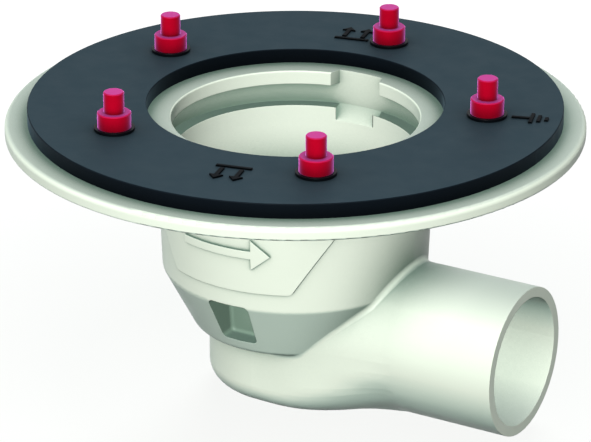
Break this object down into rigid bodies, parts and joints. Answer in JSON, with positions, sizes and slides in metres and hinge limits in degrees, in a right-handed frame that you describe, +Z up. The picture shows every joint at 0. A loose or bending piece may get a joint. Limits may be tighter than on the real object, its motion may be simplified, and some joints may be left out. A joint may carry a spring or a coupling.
{
  "type": "floor drain",
  "caption": "Cast floor drain with side outlet spigot, round membrane flange, clamp ring on capped studs, bayonet inlet and lift-out odour trap.",
  "frame": {"origin": "on the drum's vertical axis, at the level of the bowl's flat underside", "axes": "+Z up along the drum's axis, +X along the outlet spigot from the drum to its open end, +Y across"},
  "size_m": [0.306, 0.306, 0.1799],
  "materials": {
    "body_coating": "pale epoxy powder coat, satin",
    "ring_coating": "dark dip coat, matte",
    "gasket_rubber": "matte black rubber",
    "trap_plastic": "moulded grey polypropylene",
    "fastener_steel": "zinc-plated steel",
    "washer_black": "black coated steel",
    "cap_red": "soft-gloss red plastic"
  },
  "bodies": {
    "drain": {"drain_body": "body_coating", "clamp_ring": "ring_coating", "trap_gasket": "gasket_rubber", "trap_funnel": "trap_plastic", "trap_cup": "trap_plastic", "stud_1": "fastener_steel", "stud_2": "fastener_steel", "stud_3": "fastener_steel", "stud_4": "fastener_steel", "stud_5": "fastener_steel", "washer_1": "washer_black", "washer_2": "washer_black", "washer_3": "washer_black", "washer_4": "washer_black", "washer_5": "washer_black", "nut_1": "fastener_steel", "nut_2": "fastener_steel", "nut_3": "fastener_steel", "nut_4": "fastener_steel", "nut_5": "fastener_steel"},
    "cap_a": {"cap_1": "cap_red"},
    "cap_b": {"cap_2": "cap_red"},
    "cap_c": {"cap_3": "cap_red"},
    "cap_d": {"cap_4": "cap_red"},
    "cap_e": {"cap_5": "cap_red"}
  },
  "joints": [
    {"name": "cap_1_pull", "type": "slide", "parent": "drain", "child": "cap_a", "axis": [0, 0, 1], "range_m": [0, 0.02]},
    {"name": "cap_2_pull", "type": "slide", "parent": "drain", "child": "cap_b", "axis": [0, 0, 1], "range_m": [0, 0.02]},
    {"name": "cap_3_pull", "type": "slide", "parent": "drain", "child": "cap_c", "axis": [0, 0, 1], "range_m": [0, 0.02]},
    {"name": "cap_4_pull", "type": "slide", "parent": "drain", "child": "cap_d", "axis": [0, 0, 1], "range_m": [0, 0.02]},
    {"name": "cap_5_pull", "type": "slide", "parent": "drain", "child": "cap_e", "axis": [0, 0, 1], "range_m": [0, 0.02]}
  ]
}
